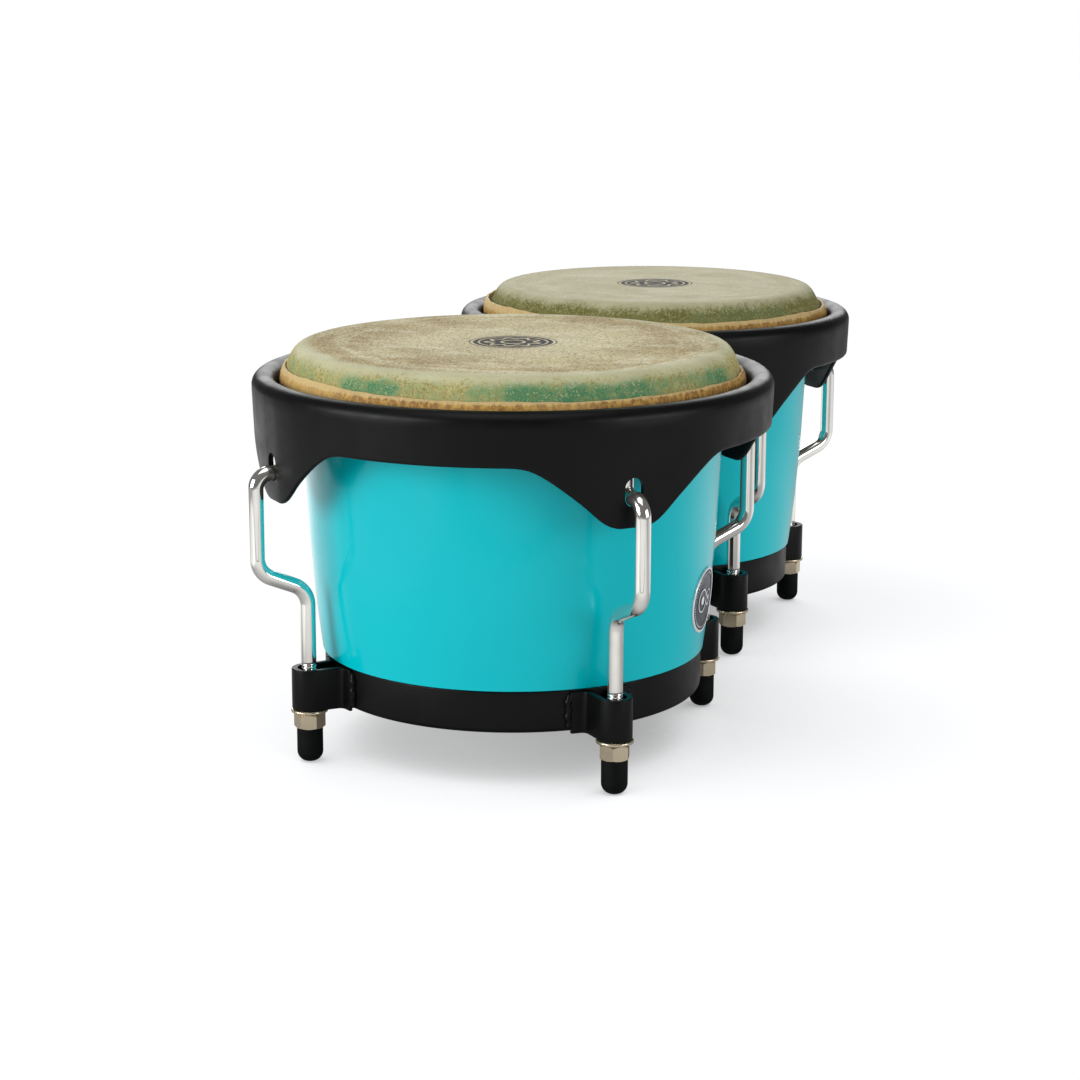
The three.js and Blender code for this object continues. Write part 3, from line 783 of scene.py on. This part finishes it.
def make_rod_mesh(drum):
    """A bent bar with a domed hook tip and a rolled thread on its lower end."""
    sides = 24
    around = np.arange(sides) * 2 * math.pi / sides
    shank, root = 3.17, 2.58
    path = rod_path(drum)
    rows = []
    along = np.gradient(path, axis=0)
    along[0], along[-1] = path[1] - path[0], path[-1] - path[-2]
    along /= np.linalg.norm(along, axis=1)[:, None]
    for share in (0.0, 0.35, 0.7, 0.92):
        rise = shank * (1 - math.sqrt(1 - share * share)) - shank * 0.5
        rows.append(((path[0][0], path[0][1] - rise), along[0], np.full(sides, shank * share)))
    for point, direction in zip(path, along):
        rows.append((tuple(point), direction, np.full(sides, shank)))
    down = np.array((0.0, -1.0))
    for z in np.arange(THREAD_TOP, 3.3, -THREAD_PITCH / 8):
        phase = (z / THREAD_PITCH - around / (2 * math.pi)) % 1
        tooth = root + (shank - root) * np.clip(1.5 - np.abs(phase - 0.5) * 3.4, 0, 1)
        fade = min(1.0, (THREAD_TOP - z) / 1.2)
        rows.append(((drum.lug, z), down, shank + (tooth - shank) * fade))
    for z, share in ((3.1, 0.95), (2.95, 0.8), (2.9, 0.5), (2.9, 0.0)):
        rows.append(((drum.lug, z), down, np.full(sides, root * share)))
    vertices = []
    for (r, z), direction, radii in rows:
        across = (-direction[1], direction[0])
        for angle, radius in zip(around, radii):
            inside = radius * math.cos(angle)
            vertices.append((r + across[0] * inside, radius * math.sin(angle), z + across[1] * inside))
    return np.array(vertices), grid_faces(len(rows), sides, False, True)


NUT_SIDES = 96


def make_nut_mesh(across_flats, bottom, top, bore):
    """A hexagon whose corners are chamfered at both ends; bore 0 closes it."""
    turns = np.arange(NUT_SIDES) * 2 * math.pi / NUT_SIDES
    flat = across_flats / 2
    hexagon = flat / np.cos((turns + math.pi / 6) % (math.pi / 3) - math.pi / 6)
    fall = np.maximum(hexagon - flat * 0.985, 0) * math.tan(math.radians(30))
    rings = [
        (np.full(NUT_SIDES, bore + 0.5), np.full(NUT_SIDES, top)),
        (np.full(NUT_SIDES, flat * 0.94), np.full(NUT_SIDES, top)),
        (np.minimum(hexagon, flat * 0.985), np.full(NUT_SIDES, top - 0.04)),
        (hexagon, top - 0.1 - fall),
        (hexagon, np.full(NUT_SIDES, (top + bottom) / 2)),
        (hexagon, bottom + 0.1 + fall),
        (np.minimum(hexagon, flat * 0.985), np.full(NUT_SIDES, bottom + 0.04)),
        (np.full(NUT_SIDES, flat * 0.94), np.full(NUT_SIDES, bottom)),
        (np.full(NUT_SIDES, bore + 0.5), np.full(NUT_SIDES, bottom)),
    ]
    if bore:
        rings.append((np.full(NUT_SIDES, bore), np.full(NUT_SIDES, bottom + 0.5)))
        rings.append((np.full(NUT_SIDES, bore), np.full(NUT_SIDES, top - 0.5)))
    vertices = np.vstack([np.stack((r * np.cos(turns), r * np.sin(turns), z), axis=1) for r, z in rings])
    if bore:
        return vertices, grid_faces(len(rings), NUT_SIDES, True, True)
    return vertices, tube_faces(len(rings), NUT_SIDES)


# Degrees by which each nut of a drum stands turned.
NUT_TURNS = {"hembra": (8, 19, 42, 51), "macho": (33, 12, 3, 27)}


def make_lugs(drum, coat, chrome, nickel, cap_rubber):
    bracket = extrude_soft(bracket_outline(drum), 22.8, 40.1, 0.45)
    for side in (-1, 1):
        bracket = joined(bracket, weld_bead(drum, side))
    rod = make_rod_mesh(drum)
    washer = turn_profile(fillet([
        (3.65, 21.0, 0.2), (6.4, 20.95, 0.8), (7.65, 21.35, 0.5), (7.65, 22.55, 0.5), (6.6, 22.6, 0.4),
        (3.65, 22.3, 0.2),
    ], 4, closed=True), 64)
    nut = make_nut_mesh(11.3, 14.5, 20.8, 3.45)
    cap = turn_profile(fillet([
        (0, 0, 0), (5.4, 0, 4.4), (5.4, 14.3, 0.5), (3.45, 14.3, 0.3), (3.45, 2.6, 0.5), (0, 2.6, 0),
    ], 10), 48)
    seam = np.exp(-((cap[0][:, 2] - 11.9) / 0.35) ** 2) * 0.07
    cap[0][:, :2] *= (1 - seam / 5.4)[:, None]
    for number, (angle, nut_turn) in enumerate(zip(LUG_ANGLES, NUT_TURNS[drum.name]), 1):
        turn = math.radians(angle)
        at = dict(x=drum.x + drum.lug * math.cos(turn), y=drum.lug * math.sin(turn))
        tuning = f"{drum.name}_tuning"
        add_piece(
            f"{drum.name}_strap_bracket_{number}", moved(bracket[0], drum.x, turn=angle), bracket[1], [coat],
            "shells", [f"{drum.name}_lug_bracket_{number}"],
        )
        add_piece(
            f"{drum.name}_bent_rod_{number}", moved(rod[0], drum.x, turn=angle), rod[1], [chrome],
            tuning, [f"{drum.name}_tuning_rod_{number}"], sharp=50,
        )
        add_piece(
            f"{drum.name}_dished_washer_{number}", moved(washer[0], **at), washer[1], [nickel],
            "shells", [f"{drum.name}_washer_{number}"],
        )
        add_piece(
            f"{drum.name}_hex_nut_{number}", moved(nut[0], turn=nut_turn, **at), nut[1], [nickel],
            f"{drum.name}_nut_{number}_body", [f"{drum.name}_nut_{number}"], sharp=24,
        )
        add_piece(
            f"{drum.name}_rubber_cap_{number}", moved(cap[0], **at), cap[1], [cap_rubber],
            tuning, [f"{drum.name}_foot_cap_{number}"],
        )


# ---- Badge, centre block and bolts -------------------------------------------------------

BADGE_HEIGHT, BADGE_RADIUS, BADGE_BEND = 65.6, 13.9, 84.0


def badge_height(radius, angle):
    """Height of the badge's face above its back, in millimetres, and whether it is bright metal."""
    field, raised = 0.35, 0.6
    if radius > 12.7:
        crown = math.sqrt(max(0.0, 1 - ((radius - 13.3) / 0.62) ** 2))
        return field + 0.45 * crown, True
    if 11.1 < radius < 12.1:
        tick = (angle * 60 / (2 * math.pi)) % 1
        return (raised, True) if tick < 0.45 else (field, False)
    across, up = radius * math.cos(angle), radius * math.sin(angle)
    for centre, size in ((-3.1, 5.1), (4.9, 3.7)):
        distance = math.hypot(across - centre, up - 0.2)
        if size - 0.75 < distance < size or distance < size * 0.36:
            return raised, True
    return field, False


def make_badge(drum, bright, dark):
    rings = np.concatenate((np.linspace(0.02, 12.7, 86), np.linspace(12.8, BADGE_RADIUS, 12)))
    columns = 300
    angles = [2 * math.pi * column / columns for column in range(columns)]

    def on_shell(ring, angle, height):
        z = BADGE_HEIGHT + ring * math.sin(angle)
        radius = shell_radius(z, drum.step) + 0.05 + height
        turn = -math.pi / 2 + ring * math.cos(angle) / BADGE_BEND
        return radius * math.cos(turn), radius * math.sin(turn), z

    vertices, bright_at = [], []
    for ring in rings:
        for angle in angles:
            height, is_bright = badge_height(ring, angle)
            vertices.append(on_shell(ring, angle, height))
            bright_at.append(is_bright)
    vertices += [on_shell(BADGE_RADIUS, angle, 0.0) for angle in angles]
    faces = tube_faces(len(rings) + 1, columns)
    wall = (len(rings) - 1) * columns
    slots = []
    for face in faces[:-2]:
        both_bright = bright_at[face[0]] and bright_at[face[2] % len(bright_at)] if face[0] < wall else True
        slots.append(0 if both_bright else 1)
    slots += [1, 0]
    add_piece(
        f"{drum.name}_stamped_badge", moved(vertices, drum.x), faces, [bright, dark],
        "shells", [f"{drum.name}_badge"], slots, sharp=30,
    )


def make_block(paint):
    large, small = DRUMS
    outline = fillet([(31, 70, 6), (31, 114, 6), (-31, 114, 6), (-31, 70, 6)], 6, closed=True)
    middle = np.array((0.0, 92.0))
    layers = []

    def layer(scale, share):
        points = middle + (outline - middle) * scale
        left = large.x + np.sqrt((shell_radius(points[:, 1], 0) + 0.4) ** 2 - points[:, 0] ** 2)
        right = small.x - np.sqrt((shell_radius(points[:, 1], small.step) + 0.4) ** 2 - points[:, 0] ** 2)
        layers.append(np.column_stack((left + (right - left) * share, points)))

    for scale in (0.02, 0.3, 0.6, 0.85, 0.97):
        layer(scale, 0.0)
    for share in (0.02, 0.2, 0.35, 0.5, 0.65, 0.8, 0.98):
        layer(1.0, share)
    for scale in (0.97, 0.85, 0.6, 0.3, 0.02):
        layer(scale, 1.0)
    add_piece(
        "lacquered_centre_block", np.vstack(layers), tube_faces(len(layers), len(outline)), [paint],
        "shells", ["center_block"], sharp=50,
    )


def make_block_bolts(drum, nickel):
    for number in (1, 2):
        low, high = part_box(f"{drum.name}_block_bolt_{number}")
        head = (low[0] if drum.side > 0 else high[0]) / MM
        height = (low[2] + high[2]) / 2 / MM
        vertices, faces = joined(make_nut_mesh(10.2, 0, 2.6, 0), turn_profile(fillet([
            (0, 2.4, 0), (7, 2.4, 0.5), (7, 3.6, 0.2), (3, 3.6, 0), (3, 25.4, 0.5), (0, 25.6, 0),
        ], 4), 40))
        along, y, up = head + drum.side * vertices[:, 2], vertices[:, 1], height + vertices[:, 0]
        turned = np.stack((along, y, up), axis=1)
        add_piece(
            f"{drum.name}_hex_bolt_{number}", turned, faces, [nickel],
            "shells", [f"{drum.name}_block_bolt_{number}"],
        )


# ---- Studio ------------------------------------------------------------------------------

def add_softbox(name, azimuth, elevation, distance, width, height, strength):
    """A soft panel that would light a white card facing it to `strength`."""
    az, el = math.radians(azimuth), math.radians(elevation)
    aim = Vector((0, 0, 0.09))
    data = bpy.data.lights.new(name, "AREA")
    data.shape = "RECTANGLE"
    data.size, data.size_y = width, height
    data.energy = strength * (math.pi * distance) ** 2
    light = bpy.data.objects.new(name, data)
    toward = Vector((math.cos(az) * math.cos(el), math.sin(az) * math.cos(el), math.sin(el)))
    light.location = aim + distance * toward
    light.rotation_euler = (aim - light.location).to_track_quat("-Z", "Y").to_euler()
    bpy.context.collection.objects.link(light)


def make_world():
    """White to the camera, dim to the object and dimmer still in its mirrors."""
    world = bpy.data.worlds.new("studio")
    bpy.context.scene.world = world
    world.use_nodes = True
    nodes, links = world.node_tree.nodes, world.node_tree.links
    path = nodes.new("ShaderNodeLightPath")
    seen = nodes["Background"]
    unseen, mirrored = nodes.new("ShaderNodeBackground"), nodes.new("ShaderNodeBackground")
    for background, strength in ((seen, 1.0), (unseen, 0.35), (mirrored, 0.14)):
        background.inputs["Color"].default_value = (1, 1, 1, 1)
        background.inputs["Strength"].default_value = strength
    dim, mix = nodes.new("ShaderNodeMixShader"), nodes.new("ShaderNodeMixShader")
    links.new(path.outputs["Is Glossy Ray"], dim.inputs[0])
    links.new(unseen.outputs[0], dim.inputs[1])
    links.new(mirrored.outputs[0], dim.inputs[2])
    links.new(path.outputs["Is Camera Ray"], mix.inputs[0])
    links.new(dim.outputs[0], mix.inputs[1])
    links.new(seen.outputs[0], mix.inputs[2])
    links.new(mix.outputs[0], nodes["World Output"].inputs[0])


def make_floor():
    """White paper with soft contact shadows; what the object mirrors of it is brighter and darker by side."""
    bpy.ops.mesh.primitive_circle_add(vertices=96, radius=6, fill_type="NGON", location=(0, 0, 0))
    floor = bpy.context.object
    floor.name = "studio_floor"
    paint = Paint("floor_paper", (0.8, 0.8, 0.8), 0.6, Specular_IOR_Level=0.2)
    open_sky = paint.node("ShaderNodeAmbientOcclusion", samples=24)
    open_sky.inputs["Distance"].default_value = 0.21
    seen = paint.node("ShaderNodeEmission")
    seen.inputs["Color"].default_value = (0.985, 0.99, 1, 1)

    def card(place, inner, outer, glow):
        """A round patch of added brightness."""
        return paint.ramp(paint.vector("DISTANCE", paint.place, (*place, 0.0)), outer, inner, 0.0, glow)

    lit = paint.ramp(open_sky.outputs["AO"], 0.08, 0.7, 0.51, 1.02)
    shade = paint.math("ADD", card((-0.05, -0.07), 0.03, 0.14, 0.13), card((0.16, -0.05), 0.03, 0.14, 0.1))
    paint.link(paint.math("SUBTRACT", lit, shade), seen.inputs["Strength"])
    hembra_away = paint.vector("DISTANCE", paint.place, (DRUMS[0].x * MM, 0.0, 0.0))
    macho_away = paint.vector("DISTANCE", paint.place, (DRUMS[1].x * MM, 0.0, 0.0))
    away = paint.math("MINIMUM", hembra_away, macho_away)
    front = paint.vector("DISTANCE", paint.place, (-0.764, -0.216, 0.0))
    glow = paint.math("ADD", card((-0.45, 0.37), 0.2, 0.29, 0.6), paint.ramp(front, 0.75, 0.35, 0, 0.6))
    glow = paint.math("ADD", glow, card((0.6, 0.75), 0.3, 0.8, 0.5))
    glow = paint.math("ADD", glow, card((0.45, -0.65), 0.2, 0.75, 0.5))
    glow = paint.math("ADD", glow, 0.36)
    gap = paint.math("MULTIPLY", paint.ramp(front, 0.318, 0.328), paint.ramp(front, 0.348, 0.338))
    glow = paint.math("MULTIPLY", glow, paint.math("SUBTRACT", 1.0, gap))
    glow = paint.math("ADD", glow, card((0.08, 0.4), 0.12, 0.34, 0.8))
    glow = paint.math("ADD", glow, card((0.24, -0.24), 0.06, 0.26, 0.35))
    glow = paint.math("MULTIPLY", glow, paint.ramp(away, 0.07, 0.14, 0.25, 1.0))
    mirrored, bounced = paint.node("ShaderNodeEmission"), paint.node("ShaderNodeEmission")
    paint.link(glow, mirrored.inputs["Strength"])
    bounced.inputs["Strength"].default_value = 0.78
    path = paint.node("ShaderNodeLightPath")
    unseen, either = paint.node("ShaderNodeMixShader"), paint.node("ShaderNodeMixShader")
    paint.link(path.outputs["Is Diffuse Ray"], unseen.inputs[0])
    paint.link(mirrored.outputs[0], unseen.inputs[1])
    paint.link(bounced.outputs[0], unseen.inputs[2])
    paint.link(path.outputs["Is Camera Ray"], either.inputs[0])
    paint.link(unseen.outputs[0], either.inputs[1])
    paint.link(seen.outputs[0], either.inputs[2])
    paint.link(either.outputs[0], paint.tree.nodes["Material Output"].inputs[0])
    paint.tree.nodes.remove(paint.shader)
    floor.data.materials.append(paint.material)


def make_studio():
    make_world()
    make_floor()
    add_softbox("left_front", 140, 16, 1.6, 1.1, 0.7, 0.72)
    add_softbox("right_front", 255, 14, 1.6, 1.0, 0.7, 0.36)
    add_softbox("back", 20, 25, 1.6, 1.4, 0.8, 0.5)
    add_softbox("overhead", 180, 75, 1.5, 1.2, 1.2, 0.3)
    bpy.context.scene.view_settings.view_transform = "Standard"


# ---- Build -------------------------------------------------------------------------------

place_camera()
coat = powder_coat()
chrome = metal("polished_chrome", (0.86, 0.84, 0.8), 0.03, 0.07, 60, 0.000003, 0.95)
nickel = metal("warm_nickel", (0.68, 0.58, 0.42), 0.16, 0.26, 90, 0.000008, 0.9)
zinc = metal("zinc_wire", (0.45, 0.46, 0.48), 0.3, 0.45, 90)
bright = metal("badge_silver", (0.86, 0.88, 0.9), 0.2, 0.3, 150, metallic=0.45)
gunmetal = metal("badge_gunmetal", (0.06, 0.07, 0.095), 0.3, 0.42, 220, 0.00003, 0.6)
cap_rubber = rubber()
gelcoat, fibreglass = gloss_shell(), raw_fibreglass()
flap = flap_paint()
for drum in DRUMS:
    make_shell(drum, gelcoat, fibreglass)
    make_head(drum, skin_paint(drum))
    make_flap(drum, flap)
    make_hoop(drum, zinc)
    make_rim(drum, coat)
    make_bottom_ring(drum, coat)
    make_lugs(drum, coat, chrome, nickel, cap_rubber)
    make_block_bolts(drum, nickel)
make_badge(DRUMS[0], bright, gunmetal)
make_block(lacquered_block())
make_studio()
